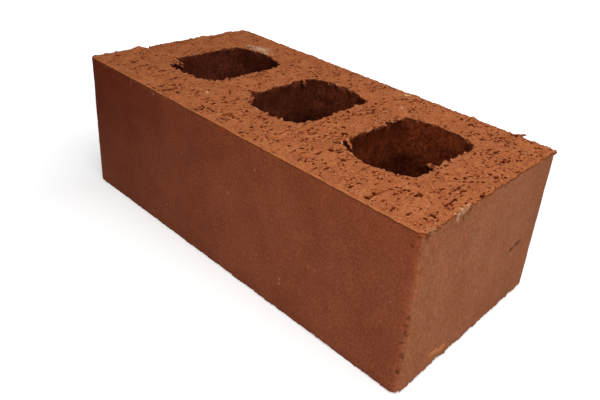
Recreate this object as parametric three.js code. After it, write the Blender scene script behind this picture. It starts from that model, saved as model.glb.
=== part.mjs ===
// Perforated clay facing brick, wire-cut.
//
// One fired piece. Stiff clay leaves the die as a column whose section is the plan of the
// brick, with its cores, and taut wires cut that column into bricks. So the plan is drawn
// once and extruded through the height. The die rounds the four upright arrises; the wires
// leave the arrises of the two bed faces, and the rims of the cores, almost sharp.
//
// Millimetres. +X runs along the length, +Y across the width and +Z up. The origin is the
// centre of the lower bed face.

import * as THREE from 'three';

// Overall size.
const LENGTH = 215;
const WIDTH = 102.5;
const HEIGHT = 73;

// Solid clay left round and between the cores.
const END_WALL = 25.8; // from a header face to the nearest core
const FRONT_WALL = 25.6; // from the stretcher face at -Y to the cores
const BACK_WALL = 22.8; // from the stretcher face at +Y, so the row of cores lies off centre
const WEB = 23; // between two neighbouring cores

// Cores: flat flanks towards the webs, and bowed ends towards the stretcher faces.
const CORE_COUNT = 3;
const CORE_END_BOW = 5; // how far a core's end bulges beyond its two shoulders
const CORE_FRONT_FILLET = 7; // radius of the shoulders at the -Y end
const CORE_BACK_FILLET = 2.5; // radius of the shoulders at the +Y end

// Arrises.
const DIE_ARRIS_RADIUS = 3.6; // the four upright edges
const CUT_ARRIS_EASE = 0.6; // the edges of both bed faces, and the rims of the cores

// Roundness of the facets.
const ARC_SEGMENTS = 5; // each arc is drawn with twice as many chords
const EASE_SEGMENTS = 2;

const FIRED_CLAY = new THREE.MeshStandardMaterial({
  name: 'fired_clay',
  color: 0x9a5a3c,
  roughness: 0.9,
  metalness: 0,
});

const QUARTER = Math.PI / 2;

// The cores share what the walls and webs leave of the length and the width.
const coreWidth = (LENGTH - 2 * END_WALL - (CORE_COUNT - 1) * WEB) / CORE_COUNT;
const coreFrontY = -WIDTH / 2 + FRONT_WALL;
const coreBackY = WIDTH / 2 - BACK_WALL;
const corePitch = coreWidth + WEB;

// The die's mouth: a rectangle with its corners rounded, drawn anticlockwise.
function columnOutline() {
  const radius = DIE_ARRIS_RADIUS;
  const x = LENGTH / 2 - radius;
  const y = WIDTH / 2 - radius;
  const outline = new THREE.Shape();
  outline.absarc(x, y, radius, 0, QUARTER, false);
  outline.absarc(-x, y, radius, QUARTER, 2 * QUARTER, false);
  outline.absarc(-x, -y, radius, 2 * QUARTER, 3 * QUARTER, false);
  outline.absarc(x, -y, radius, 3 * QUARTER, 4 * QUARTER, false);
  outline.closePath();
  return outline;
}

// One bowed end of a core: the arc's radius and centre, and the shoulder's fillet, which
// touches the flank from inside at halfWidth and touches the arc from inside too. Heights
// are measured outwards from the middle of the core to its crown.
function bowedEnd(halfWidth, crown, fillet) {
  const radius = (halfWidth ** 2 + CORE_END_BOW ** 2) / (2 * CORE_END_BOW);
  const centre = crown - radius;
  const filletX = halfWidth - fillet;
  const filletRise = Math.sqrt((radius - fillet) ** 2 - filletX ** 2);
  return {
    radius,
    centre,
    fillet,
    filletX,
    filletY: centre + filletRise,
    sweep: Math.atan2(filletRise, filletX), // where the fillet ends and the arc begins
  };
}

// A core's rim, drawn clockwise as a hole's is: up the flank at -X, over the bowed end at
// +Y, down the flank at +X and back over the bowed end at -Y.
function coreOutline(centreX) {
  const middleY = (coreFrontY + coreBackY) / 2;
  const crown = (coreBackY - coreFrontY) / 2;
  const back = bowedEnd(coreWidth / 2, crown, CORE_BACK_FILLET);
  const front = bowedEnd(coreWidth / 2, crown, CORE_FRONT_FILLET);
  const rim = new THREE.Path();

  const backY = middleY + back.filletY;
  rim.absarc(centreX - back.filletX, backY, back.fillet, Math.PI, Math.PI - back.sweep, true);
  rim.absarc(centreX, middleY + back.centre, back.radius, Math.PI - back.sweep, back.sweep, true);
  rim.absarc(centreX + back.filletX, backY, back.fillet, back.sweep, 0, true);

  const frontY = middleY - front.filletY;
  rim.absarc(centreX + front.filletX, frontY, front.fillet, 0, -front.sweep, true);
  rim.absarc(centreX, middleY - front.centre, front.radius, -front.sweep, front.sweep - Math.PI, true);
  rim.absarc(centreX - front.filletX, frontY, front.fillet, front.sweep - Math.PI, -Math.PI, true);
  rim.closePath();
  return rim;
}

// The column's section, cut to the height of one brick, with the cut edges eased.
function wireCutBrick() {
  const section = columnOutline();
  for (let i = 0; i < CORE_COUNT; i += 1) {
    const centreX = (i - (CORE_COUNT - 1) / 2) * corePitch;
    section.holes.push(coreOutline(centreX));
  }
  const geometry = new THREE.ExtrudeGeometry(section, {
    depth: HEIGHT - 2 * CUT_ARRIS_EASE,
    steps: 1,
    curveSegments: ARC_SEGMENTS,
    bevelEnabled: true,
    bevelThickness: CUT_ARRIS_EASE,
    bevelSize: CUT_ARRIS_EASE,
    bevelOffset: -CUT_ARRIS_EASE,
    bevelSegments: EASE_SEGMENTS,
  });
  geometry.translate(0, 0, CUT_ARRIS_EASE);
  return geometry;
}

const brick = new THREE.Mesh(wireCutBrick(), FIRED_CLAY);
brick.name = 'brick';

const perforatedBrick = new THREE.Group();
perforatedBrick.name = 'perforated_clay_brick';
perforatedBrick.add(brick);

export default perforatedBrick;
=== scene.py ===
"""The looks of a perforated, wire-cut clay brick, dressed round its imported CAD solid.

The brick's surface is drawn from a field that is negative inside the clay. Its section comes
from the CAD solid. The die leaves the four sides and the walls of the cores fairly smooth; the
cutting wire tears the two bed faces, drags grit across the width and breaks the rims.
"""

import math

import bmesh
import bpy
import numpy as np
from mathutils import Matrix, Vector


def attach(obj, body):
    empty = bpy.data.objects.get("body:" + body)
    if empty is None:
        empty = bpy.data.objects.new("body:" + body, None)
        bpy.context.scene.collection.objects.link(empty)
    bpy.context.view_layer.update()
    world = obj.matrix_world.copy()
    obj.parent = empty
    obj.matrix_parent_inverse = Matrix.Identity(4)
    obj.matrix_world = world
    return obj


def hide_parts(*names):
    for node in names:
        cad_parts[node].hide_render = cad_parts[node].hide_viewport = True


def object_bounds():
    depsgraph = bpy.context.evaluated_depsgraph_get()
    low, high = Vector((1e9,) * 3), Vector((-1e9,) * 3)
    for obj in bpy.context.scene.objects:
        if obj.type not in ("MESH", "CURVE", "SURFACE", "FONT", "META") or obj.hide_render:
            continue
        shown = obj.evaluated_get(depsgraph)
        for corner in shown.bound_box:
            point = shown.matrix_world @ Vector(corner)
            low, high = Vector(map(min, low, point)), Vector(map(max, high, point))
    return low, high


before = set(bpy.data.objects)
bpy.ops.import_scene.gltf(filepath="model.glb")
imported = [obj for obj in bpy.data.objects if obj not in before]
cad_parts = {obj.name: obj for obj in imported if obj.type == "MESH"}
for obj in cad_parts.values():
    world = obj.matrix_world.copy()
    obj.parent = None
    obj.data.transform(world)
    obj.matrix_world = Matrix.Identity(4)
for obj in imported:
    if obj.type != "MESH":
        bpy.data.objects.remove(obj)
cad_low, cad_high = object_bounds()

import openvdb
from mathutils import Matrix, Vector

# --- Sizes ---
# Shapes are worked out in millimetres; Blender's own unit is the metre.
# +X runs along the length, +Y across the width, away from the camera, and +Z up.

MM = 0.001
LENGTH = (cad_high.x - cad_low.x) / MM
WIDTH = (cad_high.y - cad_low.y) / MM
HEIGHT = (cad_high.z - cad_low.z) / MM
END_X = LENGTH / 2
SIDE_Y = WIDTH / 2

CELL = 0.3  # plan spacing of the field
BASE_CELL = 1.3 * CELL  # spacing of the field's layers at the lower bed
TALLEST_CELL = max(1.2, CELL)  # and halfway up
CELL_GROWTH = 1.18  # from one layer to the next, away from the beds
FINE_TOP = 3.5  # how far below the upper bed the layers stay close together
FINE_BASE = 2.0  # and above the lower bed
MARGIN = 1.2  # empty space that the field keeps round the brick
MOST_TRIANGLES = 196_000
SHORTEST_EDGE = 0.004  # shorter ones are closed up, so that no sliver is left

CUT_EASE = 0.35  # rounding of the cut edges
CUT_REACH = 6.0  # how far from a bed the cut changes the sides and cores
SKIN_REACH = 3.5  # how far from the outlines the sides' relief is worked out
RASTER = 0.2  # spacing of the raster that the plan's noise is drawn on
RASTER_EDGE = 6.0  # how far that raster reaches past the brick
SKIN_RASTER = 0.5  # spacing of the raster for the sides and the cores' walls


# --- The section, read from the CAD solid ---


def section_loops(node):
    """The outlines of the section: one closed row of x, y points for each rim, the brick's
    own outline first. They are the upper edges of the solid's upright faces."""
    mesh = node.data
    middle = (cad_low.z + cad_high.z) / 2
    onward = {}
    for face in mesh.polygons:
        if abs(face.normal.z) > 0.01:
            continue
        corners = [mesh.vertices[i].co for i in face.vertices]
        for start, end in zip(corners, corners[1:] + corners[:1]):
            if start.z > middle and end.z > middle:
                a = (round(start.x / MM, 3), round(start.y / MM, 3))
                b = (round(end.x / MM, 3), round(end.y / MM, 3))
                if a != b:
                    onward[a] = b
    loops = []
    while onward:
        point, following = onward.popitem()
        loop = [point]
        while following in onward:
            loop.append(following)
            following = onward.pop(following)
        loops.append(np.array(loop))
    return sorted(loops, key=lambda loop: -np.ptp(loop[:, 0]))


def measure_section(loops, x, y):
    """For each point of the plan: its signed distance to the outlines, negative in the clay,
    how far along the outlines its nearest point lies, and whether that is on a core. The
    last value is the outlines' whole length."""
    nearest = np.full(x.shape, 1e9)
    along = np.zeros(x.shape)
    on_core = np.zeros(x.shape, bool)
    crossed = np.zeros(x.shape, int)
    run = 0.0
    for number, loop in enumerate(loops):
        for (x0, y0), (x1, y1) in zip(loop, np.roll(loop, -1, axis=0)):
            dx, dy = x1 - x0, y1 - y0
            length = math.hypot(dx, dy)
            share = np.clip(((x - x0) * dx + (y - y0) * dy) / length**2, 0, 1)
            gap = np.hypot(x - x0 - share * dx, y - y0 - share * dy)
            closer = gap < nearest
            nearest = np.where(closer, gap, nearest)
            along = np.where(closer, run + share * length, along)
            on_core = np.where(closer, number > 0, on_core)
            if dy:
                crossed += ((y0 > y) != (y1 > y)) & (x < x0 + (y - y0) * dx / dy)
            run += length
    return np.where(crossed % 2 == 1, -nearest, nearest), along, on_core, run


# --- Noise and small helpers ---


def raster_noise(seed, shape, step, size_a, size_b, rough=0.0):
    """Smooth random relief with unit spread on a raster. Its lumps are about size_a by size_b
    millimetres; rough adds finer ones, each octave that share of the one before."""
    random = np.random.default_rng(seed)
    white = np.fft.rfft2(random.standard_normal(shape))
    wave_a = np.fft.fftfreq(shape[0], step)[:, None]
    wave_b = np.fft.rfftfreq(shape[1], step)[None, :]
    total = np.zeros(shape)
    share = 1.0
    while share > 0.1:
        spread = (wave_a * size_a) ** 2 + (wave_b * size_b) ** 2
        lumps = np.fft.irfft2(white * np.exp(-2.2 * spread) * (1 - np.exp(-9 * spread)), shape)
        total += share * lumps / lumps.std()
        share *= rough
        size_a /= 2
        size_b /= 2
    return total / total.std()


def look_up(raster, a, b):
    """The raster's values at fractional rows a and columns b, joined linearly."""
    row = np.clip(np.floor(a).astype(int), 0, raster.shape[0] - 2)
    column = np.clip(np.floor(b).astype(int), 0, raster.shape[1] - 2)
    a = np.clip(a - row, 0, 1)
    b = np.clip(b - column, 0, 1)
    near = raster[row, column] * (1 - b) + raster[row, column + 1] * b
    far = raster[row + 1, column] * (1 - b) + raster[row + 1, column + 1] * b
    return near * (1 - a) + far * a


def smooth_step(low, high, value):
    t = np.clip((value - low) / (high - low), 0, 1)
    return t * t * (3 - 2 * t)


def smooth_max(a, b, radius):
    """The larger of two fields, with the edge where they meet rounded off."""
    overlap = np.maximum(radius - np.abs(a - b), 0) / radius
    return np.maximum(a, b) + overlap**2 * radius / 4


# --- Plan maps: every relief that depends on x and y alone ---

PLAN_SHAPE = (
    int((LENGTH + 2 * RASTER_EDGE) / RASTER),
    int((WIDTH + 2 * RASTER_EDGE) / RASTER),
)
plan_x, plan_y = np.meshgrid(
    np.arange(PLAN_SHAPE[0]) * RASTER - END_X - RASTER_EDGE,
    np.arange(PLAN_SHAPE[1]) * RASTER - SIDE_Y - RASTER_EDGE,
    indexing="ij",
)


def plan_noise(seed, size_x, size_y, rough=0.0):
    return raster_noise(seed, PLAN_SHAPE, RASTER, size_x, size_y, rough)


def plan_place(x, y):
    """The plan raster's fractional row and column at points in millimetres."""
    return (x + END_X + RASTER_EDGE) / RASTER, (y + SIDE_Y + RASTER_EDGE) / RASTER


def at_plan(raster, x, y):
    return look_up(raster, *plan_place(x, y))


ragged = plan_noise(101, 0.8, 1.1, 0.6)  # bends the outlines of pits and grooves


class Bed:
    """One bed face as the cutting wire left it: depth is how far the clay lies below the CAD
    solid's face, and pit is how far into a torn pit a place is, from 0 to 1."""

    LEVEL = 0.14  # mean depth of the cut clay
    TORN = 0.1  # least depth of a torn place
    LIP = 0.14  # height of the clay pushed up ahead of a crumb

    def __init__(self, seed, grain, drag, swell):
        fine = plan_noise(seed, 1.0, 1.4, 0.6)
        lines = plan_noise(seed + 1, 0.8, 9.0, 0.5)
        broad = plan_noise(seed + 2, 24, 24, 0.5)
        self.depth = self.LEVEL + grain * fine + drag * lines + swell * broad
        self.pit = np.zeros(PLAN_SHAPE)
        self.random = np.random.default_rng(seed + 3)

    def window(self, x, y, reach):
        """The rows and columns of the plan's raster within reach of a point."""
        row, column = plan_place(x, y)
        cells = int(reach / RASTER) + 1
        rows = slice(max(int(row) - cells, 0), int(row) + cells + 1)
        columns = slice(max(int(column) - cells, 0), int(column) + cells + 1)
        return rows, columns

    def tear(self, x, y, half_x, half_y, deep, tail=0.0, lean=0.0, dark=0.8):
        """A crumb torn out of the clay, and the groove that it drew on its way, if it did.
        The groove runs towards -Y, or towards +Y where tail is below nought."""
        here = self.window(x, y, max(half_x, half_y) * 1.6 + abs(tail) + 1)
        turn = math.radians(lean)
        dx = plan_x[here] - x
        dy = plan_y[here] - y
        across = dx * math.cos(turn) - dy * math.sin(turn)
        along = dx * math.sin(turn) + dy * math.cos(turn)
        reach = np.hypot(across / half_x, along / half_y)
        hole = np.clip((1.1 - reach - 0.25 * ragged[here]) * 2.0, 0, 1)
        depth = deep * hole
        if tail:
            way = np.clip(-along / tail, 0, 1)
            inside = (-along / tail > 0) & (-along / tail < 1)
            narrow = max(0.5 * half_x, 0.3) * (1 - 0.4 * way)
            groove = np.clip(1.4 - np.abs(across + 0.12 * ragged[here]) / narrow, 0, 1)
            groove = groove * inside * (1 - way**3)
            depth = np.maximum(depth, 0.6 * deep * groove)
            hole = np.maximum(hole, dark * groove)
        lip = np.exp(-((across / half_x) ** 2 + ((along + 1.5 * half_y) / (0.6 * half_y)) ** 2))
        self.depth[here] = np.maximum(self.depth[here] - self.LIP * lip, self.TORN + depth)
        self.pit[here] = np.maximum(self.pit[here], hole)

    def strew(self, count, likely, smallest, largest):
        """Tears crumbs out at random, more of them where it is likely, from 0 to 1. Their half
        widths lie between smallest and largest, and one in ten draws a groove."""
        random = self.random
        for _ in range(count):
            x = random.uniform(-END_X + 1, END_X - 1)
            y = random.uniform(-SIDE_Y + 1, SIDE_Y - 1)
            chance, size, stretch, deep, lean, drawn, length = random.random(7)
            if chance > at_plan(likely, np.array(x), np.array(y)):
                continue
            half_x = smallest + (largest - smallest) * size**2.2
            half_y = half_x * (0.9 + 1.0 * stretch)
            tail = (1 + 4 * length**2) * (drawn < 0.10)
            self.tear(x, y, half_x, half_y, half_x * (1.1 + 0.9 * deep), tail, 30 * lean - 15)


# Long scratches that grit drew under the wire: x and y of the deep end, the groove's half
# width, depth and length towards -Y, its lean from the Y axis in degrees, and its darkness.
SCRATCHES = (
    (79.4, -47.0, 1.25, 1.5, -15.2, 6.7, 0.42),
    (84.6, -44.1, 0.5, 0.8, 5.0, 13.6, 0.4),
    (77.1, -31.5, 0.6, 0.9, -3.6, 0.0, 0.4),
    (101.1, -22.9, 0.7, 1.5, 8.0, 0.0, 0.8),
    (97.4, -14.2, 0.7, 1.4, 6.8, 3.0, 0.6),
    (64.5, -31.5, 0.5, 0.9, 4.5, 0.0, 0.5),
    (40.5, -39.8, 0.6, 1.0, 3.6, 0.0, 0.8),
    (83.0, 40.0, 0.6, 0.8, 9.0, 8.0, 0.5),
    (-45.8, 42.0, 0.6, 0.7, 12.0, 0.0, 0.4),
    (4.0, 47.0, 0.9, 0.9, 9.0, -12.0, 0.5),
    (-79.0, -21.6, 0.9, 1.1, 6.6, 28.0, 0.35),
    (-67.6, -25.9, 0.6, 1.0, 3.0, 43.0, 0.6),
    (-69.0, -31.9, 0.6, 0.9, 3.2, 46.0, 0.5),
)

# Places where whole crumbs came out: x, y, half sizes along x and y, and depth.
HOLE_WIDTH = 0.85  # share of those half sizes that is dug
HOLE_DEPTH = 0.95  # and of that depth
CRUMB_HOLES = (
    (-20.5, -44.2, 2.2, 0.8, 1.5),
    (-17.0, -43.6, 1.4, 0.7, 1.4),
    (-13.5, -43.8, 1.8, 0.7, 1.4),
    (-4.6, -45.8, 1.6, 0.8, 1.6),
    (-2.4, -45.2, 1.0, 0.7, 1.4),
    (2.2, -41.0, 0.9, 1.1, 1.4),
    (9.5, -33.0, 0.9, 1.3, 1.5),
    (12.0, -37.5, 0.8, 0.9, 1.3),
    (-23.5, -30.0, 1.1, 1.3, 1.8),
    (-21.6, -31.8, 0.9, 0.9, 1.5),
    (-35.0, -30.0, 0.9, 1.0, 1.2),
    (45.3, -29.7, 1.6, 1.3, 2.2),
    (47.2, -28.0, 1.0, 0.9, 1.5),
    (41.8, -23.2, 1.2, 1.0, 1.9),
    (42.9, -21.7, 1.0, 0.9, 1.9),
    (102.0, -38.4, 2.0, 0.9, 2.3),
    (101.4, -41.8, 0.6, 0.9, 1.2),
    (85.0, -34.2, 0.7, 0.7, 1.6),
    (82.0, -32.6, 0.9, 0.7, 1.2),
    (80.2, -24.0, 1.0, 0.8, 1.3),
    (33.0, -8.8, 1.2, 1.0, 1.2),
    (26.0, -10.6, 0.8, 0.8, 1.5),
    (31.2, -12.2, 0.6, 0.6, 1.4),
    (39.6, -13.4, 0.8, 0.9, 1.6),
    (32.6, -40.8, 0.7, 0.8, 1.5),
    (32.4, -34.0, 0.6, 0.6, 1.4),
    (21.0, -20.8, 0.9, 0.8, 1.6),
    (25.9, -21.2, 0.6, 0.7, 1.4),
    (29.4, 12.3, 1.4, 1.0, 1.6),
    (-32.0, 15.5, 1.0, 1.1, 1.2),
    (-5.8, 38.5, 0.8, 1.6, 1.3),
    (3.2, 41.5, 0.6, 1.3, 1.2),
    (97.0, 35.5, 1.1, 1.2, 1.4),
    (88.0, 40.5, 0.9, 1.3, 1.2),
    (99.5, 5.5, 0.8, 1.3, 1.2),
    (88.0, -8.0, 0.7, 0.9, 1.5),
    (82.2, -10.2, 0.7, 1.0, 1.6),
    (-88.0, -38.0, 2.0, 1.0, 0.9),
)


def upper_bed():
    bed = Bed(110, grain=0.075, drag=0.03, swell=0.05)
    clusters = plan_noise(120, 10, 12, 0.6)
    calm = 0.14 * smooth_step(0, -95, plan_x) + 0.09 * smooth_step(-10, 48, plan_y)
    right_end = 0.10 * smooth_step(82, 92, plan_x) * smooth_step(-36, -20, plan_y)
    calm_front = 0.30 * smooth_step(-42, -49, plan_y)
    torn_end = 0.22 * smooth_step(99, 104, plan_x)
    calm_corner = 0.26 * smooth_step(66, 84, plan_x) * smooth_step(-31, -38, plan_y)
    likely = 0.50 + 0.30 * clusters - calm + right_end + torn_end - calm_front - calm_corner
    likely = np.clip(likely, 0.05, 1)
    bed.strew(2100, likely, 0.28, 0.84)
    bed.strew(6000, likely, 0.22, 0.36)
    for x, y, half_x, half_y, deep in CRUMB_HOLES:
        bed.tear(x, y, HOLE_WIDTH * half_x, HOLE_WIDTH * half_y, HOLE_DEPTH * deep)
    for x, y, half, deep, length, lean, dark in SCRATCHES:
        bed.tear(x, y, half, half, deep, length, lean, dark)
    return bed


def lower_bed():
    bed = Bed(210, grain=0.05, drag=0.05, swell=0.05)
    likely = np.clip(0.5 + 0.3 * plan_noise(220, 15, 18, 0.6), 0.05, 1)
    bed.strew(1500, likely, 0.3, 1.0)
    return bed


upper = upper_bed()
lower = lower_bed()

# Where the wire pushed a core's rim: x, y, reach, and how far the clay was drawn into the
# hole, or, below nought, torn back from it.
RIM_PULLS = (
    (-43.6, -13.0, 3.5, 2.0),  # left core
    (-44.5, -20.5, 3.0, 1.6),
    (-56.0, -24.5, 3.0, 1.5),
    (-50.0, -23.0, 2.5, 1.0),
    (-43.4, 9.0, 2.4, -1.2),
    (-42.8, -3.5, 1.6, 1.2),
    (-66.0, 28.6, 5.0, -1.2),
    (-81.6, 11.5, 2.5, 0.9),
    (-80.0, -14.8, 2.6, -3.2),
    (-43.4, 23.5, 2.6, 1.1),
    (19.8, -6.0, 8.0, -0.8),  # middle core
    (-2.4, -25.0, 1.5, 2.4),
    (1.6, -25.4, 1.3, 1.8),
    (9.3, -25.4, 1.5, -1.0),
    (-20.2, 16.0, 4.5, -1.1),
    (-4.0, 28.0, 1.6, 1.4),
    (13.5, 26.2, 3.0, 0.8),
    (19.5, 15.0, 3.0, 0.8),
    (18.8, 23.0, 2.6, 1.2),
    (44.0, 17.5, 3.0, 1.9),  # right core
    (43.4, 8.0, 1.6, 2.0),
    (41.8, 12.2, 1.4, -2.0),
    (81.0, 1.0, 9.0, 0.9),
    (80.6, -7.0, 1.6, 2.0),
    (80.4, -15.5, 1.5, 1.5),
    (64.0, -26.0, 5.0, -1.6),
    (52.5, -25.0, 3.0, -1.0),
    (51.5, 27.0, 3.5, 1.2),
    (69.5, 27.6, 1.6, -0.8),
    (81.0, 22.0, 2.8, 1.5),
)


def rim_pull():
    """How far the clay reaches into a core at its rim, beyond the CAD section."""
    pull = 0.45 * plan_noise(301, 4.5, 4.5)
    for x, y, reach, amount in RIM_PULLS:
        pull = pull + amount * np.exp(-((plan_x - x) ** 2 + (plan_y - y) ** 2) / reach**2)
    return pull


pull = rim_pull()
crumbs = 0.7 * plan_noise(302, 1.5, 1.5, 0.6) + 0.7 * plan_noise(304, 3.2, 3.2, 0.5)
crumbled = plan_noise(303, 1.8, 2.6, 0.7)


# --- The field and the surface ---

SIDE_INSET = 0.03  # how far the sides lie inside the CAD solid's
EDGE_REACH = 0.8  # width of the crumbled edge along every arris
RIM_REACH = 2.4  # and of the crumbled zone round the cores
PULL_DEPTH = 2.2  # how deep the wire's pull on a core's rim goes
# How ragged the cut left the edges: the cores' rims, the front arris, and what the back and
# the headers have more than the front.
RAGGED_CORE = 0.32
RAGGED_FRONT = 0.06
RAGGED_BACK = 0.14
RAGGED_HEADER = 0.10

# Bites out of the arrises: x, y, z of the middle and half sizes.
CHIPS = (
    (0.8, -51.6, -0.2, 2.2, 1.0, 0.9),  # lower front arris
    (62.2, -51.6, -0.3, 2.6, 1.2, 1.2),
    (-44.0, -51.6, -0.3, 1.8, 0.8, 0.7),
    (-80.0, -51.6, -0.3, 1.4, 0.8, 0.7),
    (108.2, -38.5, -0.6, 2.4, 6.0, 2.0),  # lower arris of the right header
    (108.2, -25.0, -0.8, 2.6, 4.6, 2.6),
    (108.2, -13.0, -0.6, 1.8, 4.0, 1.8),
    (108.2, -1.0, -0.5, 1.4, 3.0, 1.6),
    (108.2, 12.0, -0.5, 1.4, 5.0, 1.5),
    (108.2, 30.0, -0.5, 1.2, 3.0, 1.4),
    (108.2, -49.5, -0.6, 2.0, 3.0, 2.0),
    (108.0, 51.0, 0.2, 2.2, 2.2, 2.6),
    (108.5, -25.0, 72.4, 1.3, 6.0, 3.4),  # pale chip on its upper arris
    (108.3, -43.0, 73.2, 1.4, 3.4, 1.6),
    (108.3, 4.0, 73.3, 1.2, 4.0, 1.3),
    (108.2, 38.0, 73.3, 1.2, 2.6, 1.2),
    (-108.0, -18.4, 74.0, 5.0, 2.4, 3.2),  # upper arris of the left header
    (-108.0, -15.5, 74.0, 4.4, 3.6, 2.1),
    (-108.0, -11.0, 74.0, 4.0, 5.0, 1.5),
    (-108.0, -38.0, 73.6, 1.4, 4.0, 0.9),
    (-108.0, 5.0, 73.6, 1.6, 5.0, 1.0),
    (-108.0, 27.0, 73.6, 1.6, 4.0, 0.9),
    (16.0, 51.8, 73.5, 3.0, 1.2, 1.3),  # upper back arris
    (-27.0, 51.8, 73.5, 3.6, 1.2, 1.0),
    (-60.0, 51.8, 73.5, 2.6, 1.2, 0.9),
    (52.0, 51.8, 73.5, 2.4, 1.2, 1.1),
    (76.0, 51.8, 73.5, 1.6, 1.0, 1.0),
    (107.4, -51.0, 30.0, 1.2, 1.2, 1.8),  # near upright arris
    (107.3, -51.2, 19.0, 1.0, 1.0, 1.6),
    (107.2, -51.2, 11.0, 1.2, 1.2, 2.2),
    (-108.6, -49.0, 58.0, 1.6, 1.6, 3.0),  # left upright arris
    (-108.6, -49.0, 31.0, 1.5, 1.6, 4.0),
    (-107.6, -50.2, 3.0, 1.4, 1.6, 3.0),
)

# Lumps that stand proud of an edge: x, y, z of the middle and half sizes.
LUMPS = (
    (-106.2, -23.3, 72.4, 2.2, 4.4, 1.5),
    (-106.9, 18.0, 72.6, 1.4, 5.0, 1.0),
    (-106.9, 38.0, 72.6, 1.4, 5.0, 0.9),
    (30.0, 50.4, 72.6, 3.0, 1.2, 1.0),
    (-45.0, 50.4, 72.6, 5.0, 1.2, 0.9),
    (64.0, 50.6, 72.6, 2.5, 1.1, 1.0),
    (106.9, 49.0, 72.4, 1.2, 2.0, 1.2),
    (79.4, -14.6, 72.0, 1.3, 1.4, 1.2),  # crumbs on the rims of the cores
    (79.0, -7.4, 72.0, 1.7, 1.7, 1.5),
    (-17.4, 16.7, 71.6, 1.3, 1.2, 1.7),
    (-19.4, 18.2, 72.9, 0.8, 0.8, 0.9),
    (45.0, 12.8, 72.4, 1.6, 1.3, 1.3),
    (61.0, -25.2, 72.3, 1.2, 0.9, 0.9),
    (70.0, -25.8, 72.4, 1.0, 0.8, 0.8),
)

# The wire dragged clay across the near left corner of every core. This lip runs on the line
# between these two points, given from the core's centre line.
LIP_START = (-19.6, -14.8)
LIP_END = (-9.2, -24.4)
LIP_DEPTH = 2.6
LIP_REACHES = (6.5, 8.5, 3.8)  # how far from the corner it goes in each core

# Tongues of clay that hang over the cores, drawn as tapering capsules: root, tip, and radius
# at the root.
TONGUES = (
    ((-81.5, -18.0, 72.1), (-72.8, -18.2, 71.9), 1.0),
    ((-80.5, -19.8, 72.0), (-69.8, -20.5, 71.7), 1.15),
    ((42.8, -17.2, 72.3), (49.8, -21.6, 71.9), 1.1),
    ((44.6, 12.0, 72.0), (47.4, 11.2, 71.6), 1.2),
    ((-20.4, 18.4, 72.6), (-15.4, 15.8, 70.8), 0.9),
    ((87.4, 50.0, 72.4), (91.4, 51.2, 74.0), 0.65),  # thread on the back arris
)


def heights():
    """Heights of the field's layers, closer together towards the two bed faces."""
    ups = [HEIGHT + MARGIN]
    step = CELL
    while ups[-1] > HEIGHT / 2:
        if ups[-1] < HEIGHT - FINE_TOP:
            step = min(step * CELL_GROWTH, TALLEST_CELL)
        ups.append(ups[-1] - step)
    downs = [-MARGIN]
    step = BASE_CELL
    while downs[-1] + step < ups[-1]:
        if downs[-1] > FINE_BASE:
            step = min(step * CELL_GROWTH, TALLEST_CELL)
        downs.append(downs[-1] + step)
    return np.array(downs + ups[::-1])


class Skins:
    """The relief that the die left on the four sides and on the walls of the cores, drawn on
    a raster of distance along the outlines by height. It is positive where clay is missing."""

    def __init__(self, along, total, on_core, near_arris):
        self.place = along / SKIN_RASTER
        self.on_core = on_core
        self.near_arris = near_arris
        self.shape = (int(total / SKIN_RASTER) + 2, int(HEIGHT / SKIN_RASTER) + 2)
        self.face = 0.05 * self.noise(401, 16, 22, 0.5)
        self.nicks = 0.45 * np.clip(self.noise(403, 1.6, 1.9, 0.5) - 1.2, 0, 1.2)
        self.wall = 0.03 * self.noise(404, 2.2, 16, 0.6) + 0.10 * self.noise(405, 6, 7, 0.5)

    def noise(self, seed, size_along, size_up, rough):
        return raster_noise(seed, self.shape, SKIN_RASTER, size_along, size_up, rough)

    def at(self, height):
        level = np.full(self.place.shape, np.clip(height, 0, HEIGHT) / SKIN_RASTER)
        outside = look_up(self.face, self.place, level)
        outside = outside + self.near_arris * look_up(self.nicks, self.place, level)
        return np.where(self.on_core, look_up(self.wall, self.place, level), outside)


def nearest_blob(blobs, marks, z, warp):
    """How far the grid's points at this height lie inside the nearest of the ellipsoids:
    positive inside it."""
    xs, ys = marks
    deepest = np.full(warp.shape, -5.0)
    for cx, cy, cz, half_x, half_y, half_z in blobs:
        up = (z - cz) / half_z
        if abs(up) > 1.6:
            continue
        rows = slice(*np.searchsorted(xs, (cx - 1.6 * half_x, cx + 1.6 * half_x)))
        columns = slice(*np.searchsorted(ys, (cy - 1.6 * half_y, cy + 1.6 * half_y)))
        here = (rows, columns)
        dx = (xs[rows, None] - cx) / half_x
        dy = (ys[None, columns] - cy) / half_y
        reach = np.sqrt(dx**2 + dy**2 + up**2)
        inside = (1 - reach - 0.18 * warp[here]) * min(half_x, half_y, half_z)
        deepest[here] = np.maximum(deepest[here], inside)
    return deepest


def tongue_distance(marks, z, warp):
    """Distance from the nearest tongue of dragged clay: negative inside it."""
    xs, ys = marks
    nearest = np.full(warp.shape, 5.0)
    for (x0, y0, z0), (x1, y1, z1), radius in TONGUES:
        rows = slice(*np.searchsorted(xs, (min(x0, x1) - 3, max(x0, x1) + 3)))
        columns = slice(*np.searchsorted(ys, (min(y0, y1) - 3, max(y0, y1) + 3)))
        here = (rows, columns)
        px, py, pz = xs[rows, None] - x0, ys[None, columns] - y0, z - z0
        dx, dy, dz = x1 - x0, y1 - y0, z1 - z0
        share = np.clip((px * dx + py * dy + pz * dz) / (dx**2 + dy**2 + dz**2), 0, 1)
        off = (px - share * dx) ** 2 + (py - share * dy) ** 2 + (pz - share * dz) ** 2
        away = np.sqrt(off) - radius * (1 - 0.4 * share) + 0.16 * warp[here]
        nearest[here] = np.minimum(nearest[here], away)
    return nearest


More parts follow.
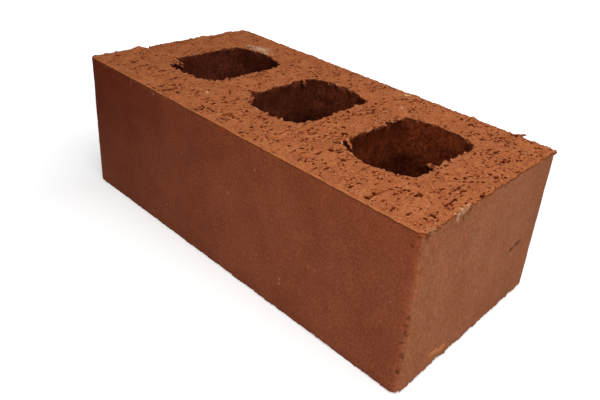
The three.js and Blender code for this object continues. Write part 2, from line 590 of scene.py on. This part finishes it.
def lip_distance(x, y, centres):
    """Distance from the dragged lips of the cores: negative on the corner's side."""
    (x0, y0), (x1, y1) = LIP_START, LIP_END
    length = math.hypot(x1 - x0, y1 - y0)
    nearest = np.full(x.shape, 5.0)
    for centre, reach in zip(sorted(centres), LIP_REACHES):
        px = x - centre
        past = ((px - x0) * (y0 - y1) + (y - y0) * (x1 - x0)) / length
        beyond = np.hypot(px - x0, y - y1) - reach
        nearest = np.minimum(nearest, np.maximum(past, beyond))
    return nearest


def brick_field():
    """The grid's coordinates, the field on it, negative inside the clay, and two plan maps:
    where the nearest outline is a core's, and how near a core's rim is, from 0 to 1."""
    xs = np.arange(-END_X - MARGIN, END_X + MARGIN + CELL, CELL)
    ys = np.arange(-SIDE_Y - MARGIN, SIDE_Y + MARGIN + CELL, CELL)
    zs = heights()
    x, y = np.meshgrid(xs, ys, indexing="ij")
    loops = section_loops(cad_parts["brick"])
    centres = [(loop[:, 0].min() + loop[:, 0].max()) / 2 for loop in loops[1:]]
    section, along, on_core, total = measure_section(loops, x, y)

    # The sides' relief is worked out only where it can show: near the outlines.
    band = np.abs(section) < SKIN_REACH
    bx, by = x[band], y[band]
    upright = smooth_step(END_X - 4, END_X - 1.5, np.abs(bx))
    upright = upright * smooth_step(SIDE_Y - 4, SIDE_Y - 1.5, np.abs(by))
    skins = Skins(along[band], total, on_core[band], upright)
    pulled = np.where(on_core, at_plan(pull, x, y), 0)[band]
    # The front arris came out crisp, and the others ragged.
    off_front = smooth_step(-SIDE_Y + 1, -SIDE_Y + 4, y)
    near_header = smooth_step(END_X - 4, END_X - 1, np.abs(x))
    ragged_side = RAGGED_FRONT + RAGGED_BACK * off_front + RAGGED_HEADER * near_header
    rough_edge = np.where(on_core, RAGGED_CORE, ragged_side)
    rough_band = rough_edge[band]

    # Round the cores the wire left the bed crumbled.
    zone = np.where(on_core, np.exp(np.minimum(section, 0) / RIM_REACH), 0)
    zone = look_up(zone, (plan_x - xs[0]) / CELL, (plan_y - ys[0]) / CELL)
    upper.depth += zone * np.clip(0.16 + 0.20 * crumbled, 0, 0.7)

    warp = at_plan(ragged, x, y)
    broken = at_plan(crumbs, x, y)
    lips = lip_distance(x, y, centres) + 0.3 * broken
    edge = np.exp(np.minimum(section, 0) / EDGE_REACH) * np.maximum(1 + broken, 0)
    bulge = np.clip(nearest_blob(LUMPS, (xs, ys), HEIGHT, warp), 0, 2)
    upper_here = at_plan(upper.depth, x, y) + rough_edge * edge - bulge
    lower_here = at_plan(lower.depth, x, y) + 0.2 * edge

    field = np.empty((len(xs), len(ys), len(zs)), np.float32)
    for k, z in enumerate(zs):
        from_top = max(HEIGHT - z, 0)
        from_base = max(z, 0)
        side = section + SIDE_INSET
        side[band] += skins.at(z)
        if from_top < CUT_REACH:
            lean = HEIGHT - z
            crumb = at_plan(crumbs, bx + 0.4 * lean, by - 0.5 * lean)
            side[band] -= pulled * math.exp(-((from_top / PULL_DEPTH) ** 2))
            side[band] += rough_band * crumb * math.exp(-from_top / 1.1)
            side = np.minimum(side, -nearest_blob(LUMPS, (xs, ys), z, warp))
            lip = smooth_max(lips, from_top - LIP_DEPTH - 0.5 * broken, 0.8)
            side = np.minimum(side, lip)
            side = smooth_max(side, z - HEIGHT + upper_here, CUT_EASE)
            side = np.minimum(side, tongue_distance((xs, ys), z, broken))
        if from_base < CUT_REACH:
            crumb = at_plan(crumbs, bx - 0.8 * z, by + 1.1 * z)
            side[band] += 0.6 * rough_band * crumb * math.exp(-from_base / 1.3)
            side = smooth_max(side, lower_here - z, CUT_EASE)
        field[:, :, k] = smooth_max(side, nearest_blob(CHIPS, (xs, ys), z, warp), 0.3)
    rim = np.where(on_core, np.exp(-((section / EDGE_REACH) ** 2)), 0)
    return (xs, ys, zs), field, on_core, rim


def largest_part(count, faces):
    """Which vertices belong to the part of the mesh that has the most of them, so that no
    crumb hangs in the air."""
    start = faces.ravel()
    end = np.roll(faces, -1, axis=1).ravel()
    root = np.arange(count)
    while True:
        smallest = np.minimum(root[start], root[end])
        joined = root.copy()
        np.minimum.at(joined, start, smallest)
        np.minimum.at(joined, end, smallest)
        joined = joined[joined]
        if (joined == root).all():
            break
        root = joined
    names, counts = np.unique(root, return_counts=True)
    return root == names[counts.argmax()]


def mesh_from_field(marks, field):
    """The surface where the field is nought, as a Blender mesh of quads."""
    grid = openvdb.FloatGrid(background=1.0)
    grid.copyFromArray(field)
    points, _, quads = grid.convertToPolygons(isovalue=0.0, adaptivity=0.0)
    quads = quads.astype(np.int64)
    kept = largest_part(len(points), quads)
    quads = quads[kept[quads[:, 0]]]
    number = np.cumsum(kept) - 1
    quads = number[quads].astype(np.int32)
    points = points[kept]
    co = np.empty((len(points), 3), np.float32)
    for axis, places in enumerate(marks):
        co[:, axis] = np.interp(points[:, axis], np.arange(len(places)), places) * MM
    mesh = bpy.data.meshes.new("fired_brick")
    mesh.vertices.add(len(co))
    mesh.vertices.foreach_set("co", co.ravel())
    mesh.loops.add(quads.size)
    mesh.loops.foreach_set("vertex_index", quads.ravel())
    mesh.polygons.add(len(quads))
    mesh.polygons.foreach_set("loop_start", np.arange(0, quads.size, 4, dtype=np.int32))
    mesh.update(calc_edges=True)
    return mesh


def with_fewer_faces(mesh):
    """The piece, with triangles kept where the surface bends."""
    piece = bpy.data.objects.new("fired_brick", mesh)
    bpy.context.scene.collection.objects.link(piece)
    modifier = piece.modifiers.new("fewer_faces", "DECIMATE")
    modifier.ratio = min(1.0, MOST_TRIANGLES / (2 * len(mesh.polygons)))
    modifier.use_collapse_triangulate = True
    graph = bpy.context.evaluated_depsgraph_get()
    piece.data = bpy.data.meshes.new_from_object(piece.evaluated_get(graph))
    piece.modifiers.clear()
    slivers = bmesh.new()
    slivers.from_mesh(piece.data)
    bmesh.ops.dissolve_degenerate(slivers, dist=SHORTEST_EDGE * MM, edges=slivers.edges)
    slivers.to_mesh(piece.data)
    slivers.free()
    piece.data.name = "fired_brick"
    piece.data.shade_smooth()
    bpy.data.meshes.remove(mesh)
    return piece


def note_skins(piece, marks, on_core, rim):
    """Writes four maps that the clay's colours follow: cut is 1 where the clay is torn or
    cut, pit is how deep a torn pit goes, core is 1 on the walls of the cores, and rim is 1
    on their upper and lower rims."""
    mesh = piece.data
    co = np.empty(len(mesh.vertices) * 3, np.float32)
    mesh.vertices.foreach_get("co", co)
    x, y, z = co.reshape(-1, 3).T / MM
    from_top = HEIGHT - at_plan(upper.depth, x, y) - z
    from_base = z - at_plan(lower.depth, x, y)
    cut = smooth_step(0.50, 0.15, np.minimum(from_top, from_base))
    chipped = smooth_step(-0.35, -0.15, vertex_blobs(CHIPS, x, y, z))
    torn = np.where(z > HEIGHT / 2, at_plan(upper.pit, x, y), at_plan(lower.pit, x, y))
    rows = (x - marks[0][0]) / CELL
    columns = (y - marks[1][0]) / CELL
    core = look_up(on_core.astype(float), rows, columns)
    maps = {
        "cut": np.maximum(cut, chipped),
        "pit": torn * cut,
        "core": core * (1 - cut),
        "rim": look_up(rim, rows, columns) * cut,
    }
    for name, values in maps.items():
        layer = mesh.attributes.new(name, "FLOAT", "POINT")
        layer.data.foreach_set("value", values.astype(np.float32))


def vertex_blobs(blobs, x, y, z):
    """The same as nearest_blob, for points of any height and with smooth outlines."""
    deepest = np.full(x.shape, -5.0)
    for cx, cy, cz, half_x, half_y, half_z in blobs:
        reach = np.sqrt(
            ((x - cx) / half_x) ** 2 + ((y - cy) / half_y) ** 2 + ((z - cz) / half_z) ** 2
        )
        deepest = np.maximum(deepest, (1 - reach) * min(half_x, half_y, half_z))
    return deepest


# --- Fired clay ---


class Shader:
    """A short way to write a node material. Each call returns the new node's output."""

    def __init__(self, name):
        self.material = bpy.data.materials.new(name)
        self.material.use_nodes = True
        self.tree = self.material.node_tree
        self.tree.nodes.clear()

    def node(self, kind, settings=None, **inputs):
        made = self.tree.nodes.new(kind)
        for key, value in (settings or {}).items():
            setattr(made, key, value)
        for key, value in inputs.items():
            self.give(made.inputs[key.replace("_", " ")], value)
        return made

    def give(self, socket, value):
        if isinstance(value, bpy.types.NodeSocket):
            self.tree.links.new(value, socket)
        elif isinstance(value, tuple) and socket.type == "RGBA":
            socket.default_value = (*value, 1) if len(value) == 3 else value
        else:
            socket.default_value = value

    def math(self, operation, a, b=0.0):
        made = self.tree.nodes.new("ShaderNodeMath")
        made.operation = operation
        self.give(made.inputs[0], a)
        self.give(made.inputs[1], b)
        return made.outputs[0]

    def mix(self, share, a, b, blend="MIX"):
        made = self.tree.nodes.new("ShaderNodeMix")
        made.data_type = "RGBA"
        made.blend_type = blend
        self.give(made.inputs[0], share)
        self.give(made.inputs[6], a)
        self.give(made.inputs[7], b)
        return made.outputs[2]

    def step(self, value, low, high, to_low=0.0, to_high=1.0):
        made = self.node(
            "ShaderNodeMapRange",
            {"interpolation_type": "SMOOTHSTEP"},
            Value=value,
            From_Min=low,
            From_Max=high,
            To_Min=to_low,
            To_Max=to_high,
        )
        return made.outputs[0]

    def noise(self, place, size, detail=2.0, rough=0.5, stretch=(1, 1, 1), shift=0.0):
        """Noise whose lumps are about size millimetres, stretched along the axes as told."""
        moved = self.node(
            "ShaderNodeMapping",
            Vector=place,
            Location=(shift, shift * 0.7, shift * 1.3),
            Scale=tuple(1 / (size * MM * s) for s in stretch),
        )
        made = self.node(
            "ShaderNodeTexNoise",
            Vector=moved.outputs[0],
            Scale=1.0,
            Detail=detail,
            Roughness=rough,
        )
        return made.outputs["Fac"]

    def attribute(self, name):
        made = self.node("ShaderNodeAttribute", {"attribute_name": name})
        return made.outputs["Fac"]

    def specks(self, place, spacing, radius, share, shift=0.0):
        """Round specks in a share of the cells of a lattice: 1 inside them."""
        moved = self.node(
            "ShaderNodeMapping",
            Vector=place,
            Location=(shift, shift, shift),
            Scale=(1 / (spacing * MM),) * 3,
        )
        cells = self.node("ShaderNodeTexVoronoi", Vector=moved.outputs[0], Scale=1.0)
        tint = self.node("ShaderNodeSeparateColor", Color=cells.outputs["Color"])
        chosen = self.math("LESS_THAN", tint.outputs[0], share)
        size = self.math("MULTIPLY_ADD", tint.outputs[1], radius / spacing)
        size.node.inputs[2].default_value = 0.35 * radius / spacing
        inside = self.math("LESS_THAN", cells.outputs["Distance"], size)
        return self.math("MULTIPLY", chosen, inside)

    def spot(self, place, centre, half, ragged, soft=0.35):
        """1 within an ellipsoid in millimetres, with a ragged edge, and nought outside."""
        away = self.node("ShaderNodeMapping", Vector=place)
        away.inputs["Location"].default_value = tuple(-c / h for c, h in zip(centre, half))
        away.inputs["Scale"].default_value = tuple(1 / (h * MM) for h in half)
        reach = self.node("ShaderNodeVectorMath", {"operation": "LENGTH"})
        self.give(reach.inputs[0], away.outputs[0])
        reach = self.math("ADD", reach.outputs["Value"], ragged)
        return self.step(reach, 1 + soft, 1 - soft)


# The clay's colours. Where there are two, clouds of noise run from the first to the second.
SKIN = ((0.330, 0.0845, 0.0387), (0.386, 0.1046, 0.0488))
HEADER_SKIN = ((0.392, 0.135, 0.060), (0.445, 0.161, 0.073))
ORANGE_SKIN = (0.46, 0.124, 0.040)
DARK_STREAK = (0.24, 0.060, 0.025)
LIGHT_STREAK = (0.55, 0.20, 0.095)
PINHOLE = (0.14, 0.030, 0.012)
CUT = ((0.333, 0.094, 0.031), (0.404, 0.122, 0.042))
CUT_SAND = (0.62, 0.25, 0.11)
# Darker clay and painted shade in the hollows of the dragged relief.
DARK_DRAG_AND_SHADE = (0.24, 0.044, 0.011)
LIGHT_DRAG = (0.60, 0.24, 0.11)
# Dark flecks in the small dents: darker clay and painted shade.
FLECK_AND_SHADE = (0.10, 0.016, 0.005)
# Torn pits: darker clay and painted shade, around their edges and deep in them.
PIT_EDGE_AND_SHADE = (0.22, 0.036, 0.009)
PIT_DEPTH_AND_SHADE = (0.080, 0.009, 0.002)
WALL = ((0.125, 0.025, 0.009), (0.21, 0.044, 0.015))
# Painted shadow under the upper rims of the cores.
PAINTED_RIM_SHADOW = (0.045, 0.007, 0.002)
# Painted highlight along the front arris of the upper bed.
PAINTED_EDGE_HIGHLIGHT = (0.49, 0.161, 0.059)
# Painted highlight along the rims of the cores.
PAINTED_RIM_HIGHLIGHT = (0.56, 0.225, 0.105)
# Painted shade: the sides darker to the left, standing in for the lamps' fall-off.
PAINTED_FALLOFF_SHADE = (0.132, 0.004, 0.0)
TORN_SIDE = (0.58, 0.076, 0.009)
TORN_HEADER = (0.45, 0.145, 0.052)
PALE_GRIT = (0.60, 0.36, 0.22)

# Colours of the marks.
PALE_CHIP = (0.62, 0.34, 0.19)
DULL_CHIP = (0.60, 0.30, 0.16)
SMUDGE = (0.16, 0.042, 0.016)
ORANGE_PATCH = (0.50, 0.140, 0.036)
LIGHT_PATCH = (0.70, 0.27, 0.095)
NICK = (0.15, 0.036, 0.014)

# Marks on the upper bed: x and y of the middle, half sizes along x, y and z, colour and how
# much of it shows.
BED_MARKS = (
    (-70.4, 33.2, 5.0, 3.6, 3.0, (0.55, 0.38, 0.25), 0.8),  # lime smear
    (-76.4, 32.2, 3.4, 1.5, 2.0, (0.54, 0.36, 0.23), 0.6),
    (-64.0, 31.6, 4.4, 1.7, 2.0, (0.56, 0.36, 0.23), 0.6),
    (26.5, 47.5, 1.5, 1.2, 1.5, (0.62, 0.42, 0.22), 0.9),  # grit
    (35.4, 31.8, 1.3, 1.1, 1.5, (0.60, 0.36, 0.20), 0.9),
    (-32.8, -32.5, 1.0, 0.9, 1.5, (0.66, 0.42, 0.26), 0.9),
    (-3.8, -26.0, 0.9, 1.0, 1.5, (0.66, 0.42, 0.26), 0.9),
    (43.9, -20.6, 0.6, 0.6, 1.5, (0.70, 0.50, 0.34), 0.9),
)

# Marks on the right header: y and z of the middle, half sizes along y and z, and the rest.
HEADER_MARKS = (
    (-29.8, 71.2, 1.4, 1.9, PALE_CHIP, 0.85),
    (-26.5, 72.4, 2.6, 1.5, PALE_CHIP, 0.85),
    (-22.8, 73.0, 2.2, 1.0, DULL_CHIP, 0.8),
    (-24.6, 69.6, 0.5, 0.7, DULL_CHIP, 0.6),
    (-45.8, 72.4, 2.8, 0.8, (0.54, 0.26, 0.13), 0.6),
    (26.0, 31.0, 3.0, 1.3, SMUDGE, 0.85),
    (31.5, 31.9, 3.8, 1.2, SMUDGE, 0.85),
    (21.5, 31.4, 1.2, 0.5, (0.17, 0.046, 0.018), 0.6),
    (42.0, 18.0, 4.5, 2.2, ORANGE_PATCH, 0.6),
    (39.0, 26.0, 4.0, 1.2, ORANGE_PATCH, 0.4),
    (-28.5, 7.0, 3.6, 1.2, LIGHT_PATCH, 0.9),
    (-22.5, 5.2, 3.4, 1.7, LIGHT_PATCH, 0.9),
    (-34.5, 5.8, 2.6, 0.8, (0.56, 0.17, 0.05), 0.6),
)

# Marks at the upright arrises: middle, half sizes, colour and how much of it shows.
CORNER_MARKS = (
    ((107.5, 50.5, 2.0), (2.0, 1.6, 1.6), (0.62, 0.215, 0.065), 0.8),
    ((107.2, -48.3, 71.8), (1.2, 1.3, 0.8), (0.15, 0.030, 0.010), 0.8),
    ((105.8, -51.0, 71.4), (1.6, 1.0, 0.6), (0.17, 0.030, 0.010), 0.6),
    ((103.4, -51.0, 66.6), (0.9, 1.0, 0.5), (0.17, 0.030, 0.010), 0.6),
)

# Nicks down the near upright arris: x and z of the middle, and half sizes along x and z.
NICKS = (
    (106.5, 37.0, 0.8, 1.0),
    (106.0, 33.5, 1.0, 0.6),
    (106.8, 30.0, 0.7, 1.2),
    (105.2, 25.5, 0.8, 0.7),
    (106.5, 19.5, 0.8, 1.1),
    (106.0, 12.0, 0.8, 1.4),
)


def all_marks():
    """Every mark of colour: middle, half sizes, colour and how much of it shows."""
    for x, y, half_x, half_y, half_z, tint, share in BED_MARKS:
        yield (x, y, HEIGHT), (half_x, half_y, half_z), tint, share
    for y, z, half_y, half_z, tint, share in HEADER_MARKS:
        yield (END_X, y, z), (1.6, half_y, half_z), tint, share
    yield from CORNER_MARKS
    for x, z, half_x, half_z in NICKS:
        yield (x, -50.7, z), (half_x, 1.5, half_z), NICK, 0.65


def skin_colour(s, place, patch, grit, sand):
    """Die skin: dull red, in clouds, paler and more orange on the headers, streaked upright
    as the clay left the die, with freckles and dark pinholes."""
    blotch = s.noise(place, 26, 3, 0.55)
    skin = s.mix(s.step(blotch, 0.35, 0.65), *SKIN)
    facing = s.node("ShaderNodeSeparateXYZ", Vector=s.node("ShaderNodeTexCoord").outputs["Normal"])
    endwise = s.step(s.math("ABSOLUTE", facing.outputs["X"]), 0.45, 0.9)
    skin = s.mix(endwise, skin, s.mix(s.step(blotch, 0.35, 0.65), *HEADER_SKIN))
    skin = s.mix(s.step(patch, 0.42, 0.7, 0, 0.35), skin, ORANGE_SKIN)
    streaks = s.noise(place, 0.7, 3, 0.6, stretch=(1, 1, 5), shift=17)
    dark_streak = s.math("MULTIPLY", s.step(streaks, 0.48, 0.30), s.step(endwise, 0, 1, 0.12, 0.45))
    skin = s.mix(dark_streak, skin, DARK_STREAK)
    light_streak = s.math("MULTIPLY", s.step(streaks, 0.54, 0.70), s.step(endwise, 0, 1, 0.1, 0.5))
    skin = s.mix(light_streak, skin, LIGHT_STREAK)
    grain = s.mix(s.step(grit, 0.32, 0.68), (0.89, 0.87, 0.84), (1.11, 1.13, 1.17))
    skin = s.mix(1.0, skin, grain, "MULTIPLY")
    grain = s.mix(s.step(sand, 0.32, 0.68), (0.82, 0.78, 0.74), (1.16, 1.20, 1.26))
    skin = s.mix(1.0, skin, grain, "MULTIPLY")
    pinholes = s.specks(place, 2.4, 0.36, 0.12, 7.7)
    return s.mix(s.math("MULTIPLY", pinholes, 0.55), skin, PINHOLE), endwise


def cut_colour(s, place, patch, sand, pit):
    """Cut clay: brighter orange and grainy, with dark flecks and torn pits. The drag's hollows, the
    flecks' dents and the pits are darker, partly in the clay's tone and partly as painted shade.
    """
    torn = s.mix(s.step(patch, 0.35, 0.65), *CUT)
    torn = s.mix(s.step(sand, 0.54, 0.68, 0, 0.8), torn, CUT_SAND)
    dragged = s.noise(place, 0.8, 3, 0.6, stretch=(1, 2.0, 1), shift=9)
    # Darker in the hollows of the dragged relief: partly clay tone, partly painted shade.
    torn = s.mix(s.step(dragged, 0.42, 0.32, 0, 0.6), torn, DARK_DRAG_AND_SHADE)
    torn = s.mix(s.step(dragged, 0.60, 0.70, 0, 0.7), torn, LIGHT_DRAG)
    flecks = s.noise(place, 1.1, 2, 0.6, stretch=(1, 1.6, 1), shift=11)
    # Dark flecks where the bump has its dents: partly clay tone, partly painted shade.
    torn = s.mix(s.step(flecks, 0.345, 0.315, 0, 0.9), torn, FLECK_AND_SHADE)
    # Pits: darker clay and painted shade, more so the deeper they go.
    torn = s.mix(s.step(pit, 0.02, 0.25, 0, 0.6), torn, PIT_EDGE_AND_SHADE)
    torn = s.mix(s.step(pit, 0.18, 0.50, 0, 0.93), torn, PIT_DEPTH_AND_SHADE)
    return torn, dragged, flecks


def wall_colour(s, patch, grit, along, across, up):
    """Walls of the cores: dark red and mottled. Painted shade makes them darker deep inside and
    towards the left, painted light makes them lighter towards the right, and a painted shadow
    falls under the upper rim, except on the back walls towards the right."""
    wall = s.mix(s.step(patch, 0.35, 0.65), *WALL)
    grain = s.mix(s.step(grit, 0.30, 0.70), (0.55, 0.50, 0.50), (1.45, 1.55, 1.55))
    wall = s.mix(1.0, wall, grain, "MULTIPLY")
    # Painted light and shade: darker towards the left and lighter towards the right, standing in
    # for the lamps' fall-off.
    glow = s.mix(s.step(along, -40 * MM, 50 * MM), (0.87, 0.97, 1.40), (1.40, 1.28, 1.20))
    wall = s.mix(1.0, wall, glow, "MULTIPLY")
    # Painted shade: darker deep inside the cores.
    inside = s.math("MINIMUM", s.math("SUBTRACT", HEIGHT * MM, up), up)
    wall = s.mix(s.step(inside, 11 * MM, 24 * MM), wall, (0.38, 0.38, 0.38), "MULTIPLY")
    # Painted shadow under the upper rim, left out on the back walls towards the right, where
    # painted light stands in for light from the open top.
    back = s.step(across, 23.5 * MM, 26.2 * MM)
    back = s.math("MULTIPLY", back, s.step(along, -30 * MM, 10 * MM))
    painted_rim_shadow = s.step(up, 52 * MM, 71 * MM, 0, 0.6)
    painted_rim_shadow = s.math("MULTIPLY", painted_rim_shadow, s.step(back, 0, 1, 1.0, 0.0))
    return s.mix(painted_rim_shadow, wall, PAINTED_RIM_SHADOW)


def torn_band(s, up, patch, grit, endwise):
    """1 along the upper and lower arrises of the sides, in a ragged band of torn clay that
    is more ragged on the headers. It fades out where its edge lies, in millimetres."""
    from_top = s.math("SUBTRACT", HEIGHT * MM, up)
    edge = s.math("DIVIDE", s.math("MINIMUM", from_top, up), MM)
    wave = s.math("MULTIPLY", s.math("SUBTRACT", patch, 0.48), s.step(endwise, 0, 1, 1, 7))
    crumble = s.math("MULTIPLY", s.math("SUBTRACT", grit, 0.5), s.step(endwise, 0, 1, 1, 3.5))
    away = s.math("SUBTRACT", edge, s.math("ADD", wave, crumble))
    away = s.math("SUBTRACT", away, s.step(endwise, 0, 1, 0.0, 0.45))
    return s.step(away, 0.85, 0.45)


def fired_clay():
    s = Shader("fired_clay")
    place = s.node("ShaderNodeTexCoord").outputs["Object"]
    spots = s.node("ShaderNodeSeparateXYZ", Vector=place)
    along = spots.outputs["X"]
    across = spots.outputs["Y"]
    up = spots.outputs["Z"]
    cut = s.attribute("cut")
    pit = s.attribute("pit")
    core = s.attribute("core")
    patch = s.noise(place, 7, 3, 0.55, shift=3)
    grit = s.noise(place, 1.3, 3, 0.6, shift=5)
    sand = s.noise(place, 0.55, 2, 0.6, shift=7)

    # Painted highlight: a thin lighter line along the front arris of the upper bed.
    painted_edge_highlight = s.step(across, -49.4 * MM, -50.6 * MM, 0.0, 0.62)
    torn, dragged, flecks = cut_colour(s, place, patch, sand, pit)
    torn = s.mix(painted_edge_highlight, torn, PAINTED_EDGE_HIGHLIGHT)
    # Painted highlight along the rims of the cores, broken up by grit noise.
    painted_rim_highlight = s.math("MULTIPLY", s.attribute("rim"), s.step(grit, 0.38, 0.58, 0.1, 0.8))
    torn = s.mix(painted_rim_highlight, torn, PAINTED_RIM_HIGHLIGHT)
    skin, endwise = skin_colour(s, place, patch, grit, sand)
    colour = s.mix(core, skin, wall_colour(s, patch, grit, along, across, up))
    outside = s.math("SUBTRACT", 1.0, core)

    # Painted shade: the sides darker to the left, most of all near the top, standing in for the
    # lamps' fall-off. The upper part of the stretchers is redder.
    left = s.math("MULTIPLY", s.step(along, -120 * MM, 35 * MM, 0.63, 0.0), outside)
    painted_left_shade = s.math("MULTIPLY", left, s.step(up, -10 * MM, 60 * MM, 0.15, 1.0))
    colour = s.mix(painted_left_shade, colour, PAINTED_FALLOFF_SHADE)
    redder = s.step(up, 45 * MM, HEIGHT * MM)
    redder = s.math("MULTIPLY", redder, s.math("SUBTRACT", outside, endwise))
    colour = s.mix(redder, colour, (1.0, 0.93, 0.85), "MULTIPLY")
    band = s.math("MULTIPLY", torn_band(s, up, patch, grit, endwise), 0.8)
    fresh = s.mix(endwise, TORN_SIDE, TORN_HEADER)
    colour = s.mix(s.math("MULTIPLY", band, outside), colour, fresh)
    colour = s.mix(cut, colour, torn)

    # Pale grit that shows all over.
    pale = s.math("MAXIMUM", s.specks(place, 3.4, 0.30, 0.08), s.specks(place, 9, 0.55, 0.10, 4.4))
    colour = s.mix(s.math("MULTIPLY", pale, 0.6), colour, PALE_GRIT)

    # The marks, with ragged outlines.
    torn_edge = s.math("MULTIPLY", s.math("SUBTRACT", patch, 0.5), 2.2)
    fine_edge = s.math("MULTIPLY", s.math("SUBTRACT", grit, 0.5), 3.4)
    ragged_edge = s.math("ADD", torn_edge, fine_edge)
    for centre, half, tint, share in all_marks():
        inside = s.math("MULTIPLY", s.spot(place, centre, half, ragged_edge), share)
        colour = s.mix(inside, colour, tint)

    roughness = s.math("ADD", s.math("MULTIPLY", cut, 0.25), s.step(grit, 0.3, 0.7, 0.56, 0.72))

    # Relief finer than the mesh: sand and grit, stronger where the clay is cut.
    height = s.math("MULTIPLY", sand, s.step(cut, 0, 1, 0.12, 0.6))
    height = s.math("ADD", height, s.math("MULTIPLY", grit, s.step(cut, 0, 1, 0.20, 0.4)))
    height = s.math("ADD", height, s.math("MULTIPLY", dragged, s.math("MULTIPLY", cut, 0.9)))
    dents = s.math("MULTIPLY", s.step(flecks, 0.30, 0.35), s.math("MULTIPLY", cut, 0.6))
    height = s.math("ADD", height, dents)
    bump = s.node("ShaderNodeBump", Height=height, Strength=1.0, Distance=0.7 * MM)

    surface = s.node(
        "ShaderNodeBsdfPrincipled",
        Base_Color=colour,
        Roughness=roughness,
        Specular_IOR_Level=0.03,
        Normal=bump.outputs[0],
    )
    out = s.node("ShaderNodeOutputMaterial")
    s.tree.links.new(surface.outputs[0], out.inputs["Surface"])
    return s.material


# --- The piece ---


def make_brick():
    marks, field, on_core, rim = brick_field()
    piece = with_fewer_faces(mesh_from_field(marks, field))
    note_skins(piece, marks, on_core, rim)
    piece.data.materials.clear()
    piece.data.materials.append(fired_clay())
    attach(piece, "root")
    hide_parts("brick")


# --- Camera, lamps and floor ---

PHOTO_WIDTH = 600
PHOTO_HEIGHT = 400
SENSOR_WIDTH = 36  # millimetres
FOCAL_PIXELS = 612.0
PRINCIPAL_X = 362.0  # where the lens axis meets the picture, in pixels from its left
PRINCIPAL_Y = 144.5  # and from its top
CAMERA_PLACE = (191.85, -197.74, 182.95)
CAMERA_AZIMUTH = 37.92  # degrees, as are the next two
CAMERA_DOWN = 25.51
CAMERA_ROLL = 6.60

# Soft boxes: name, place in metres, width, height and watts. All of them aim at one point.
LAMPS = (
    ("key", (0.20, -0.15, 0.40), 0.30, 0.30, 0.80),
    ("top", (0.06, 0.05, 0.45), 0.40, 0.40, 1.46),
    ("side", (0.62, -0.22, 0.16), 0.50, 0.25, 0.62),
)
LAMP_AIM = (0.05, 0, 0.03)
WORLD_STRENGTH = 0.04

FLOOR_HALF = 1.5
GLOW_START = 0.13  # distance from the brick's middle where the floor starts to glow more
GLOW_FULL = 0.36  # and where it glows as white as the background


def add_camera():
    data = bpy.data.cameras.new("camera")
    data.sensor_width = SENSOR_WIDTH
    data.lens = FOCAL_PIXELS / PHOTO_WIDTH * data.sensor_width
    data.shift_x = (PHOTO_WIDTH / 2 - PRINCIPAL_X) / PHOTO_WIDTH
    data.shift_y = (PRINCIPAL_Y - PHOTO_HEIGHT / 2) / PHOTO_WIDTH
    data.clip_start = 0.01
    camera = bpy.data.objects.new("camera", data)
    camera.matrix_world = (
        Matrix.Translation(Vector(CAMERA_PLACE) * MM)
        @ Matrix.Rotation(math.radians(CAMERA_AZIMUTH), 4, "Z")
        @ Matrix.Rotation(math.radians(90 - CAMERA_DOWN), 4, "X")
        @ Matrix.Rotation(math.radians(CAMERA_ROLL), 4, "Z")
    )
    bpy.context.scene.collection.objects.link(camera)
    bpy.context.scene.camera = camera


def add_softbox(name, place, width, height, watts):
    data = bpy.data.lights.new(name, "AREA")
    data.shape = "RECTANGLE"
    data.size = width
    data.size_y = height
    data.energy = watts
    lamp = bpy.data.objects.new(name, data)
    lamp.location = place
    aim = Vector(LAMP_AIM) - lamp.location
    lamp.rotation_euler = aim.to_track_quat("-Z", "Y").to_euler()
    lamp.visible_camera = False
    bpy.context.scene.collection.objects.link(lamp)


def seen_directly(tree):
    """1 for rays from the camera and 0 for those that light the brick."""
    return tree.nodes.new("ShaderNodeLightPath").outputs["Is Camera Ray"]


def add_world(strength):
    world = bpy.data.worlds.new("studio")
    bpy.context.scene.world = world
    world.use_nodes = True
    tree = world.node_tree
    lit = tree.nodes["Background"]
    lit.inputs["Color"].default_value = (1, 1, 1, 1)
    lit.inputs["Strength"].default_value = strength
    white = tree.nodes.new("ShaderNodeBackground")
    white.inputs["Color"].default_value = (1, 1, 1, 1)
    white.inputs["Strength"].default_value = 1.0
    choose = tree.nodes.new("ShaderNodeMixShader")
    tree.links.new(seen_directly(tree), choose.inputs[0])
    tree.links.new(lit.outputs[0], choose.inputs[1])
    tree.links.new(white.outputs[0], choose.inputs[2])
    tree.links.new(choose.outputs[0], tree.nodes["World Output"].inputs["Surface"])


def add_floor():
    """A pale floor that takes the brick's shadow. It glows for the camera alone, more so away
    from the brick, so that it runs into the white of the background."""
    mesh = bpy.data.meshes.new("floor")
    h = FLOOR_HALF
    mesh.from_pydata([(-h, -h, 0), (h, -h, 0), (h, h, 0), (-h, h, 0)], [], [(0, 1, 2, 3)])
    floor = bpy.data.objects.new("floor", mesh)
    bpy.context.scene.collection.objects.link(floor)
    s = Shader("white_floor")
    place = s.node("ShaderNodeTexCoord").outputs["Object"]
    far = s.node("ShaderNodeVectorMath", {"operation": "LENGTH"})
    s.give(far.inputs[0], place)
    glow = s.step(far.outputs["Value"], GLOW_START, GLOW_FULL, 0.5, 1.0)
    glow = s.math("MULTIPLY", glow, seen_directly(s.tree))
    paint = s.node("ShaderNodeBsdfDiffuse", Color=(0.8, 0.8, 0.8))
    light = s.node("ShaderNodeEmission", Color=(1.0, 1.0, 1.0), Strength=glow)
    both = s.tree.nodes.new("ShaderNodeAddShader")
    s.tree.links.new(paint.outputs[0], both.inputs[0])
    s.tree.links.new(light.outputs[0], both.inputs[1])
    out = s.node("ShaderNodeOutputMaterial")
    s.tree.links.new(both.outputs[0], out.inputs["Surface"])
    mesh.materials.append(s.material)


add_camera()
for lamp in LAMPS:
    add_softbox(*lamp)
add_world(WORLD_STRENGTH)
add_floor()
make_brick()
bpy.context.scene.view_settings.view_transform = "Standard"
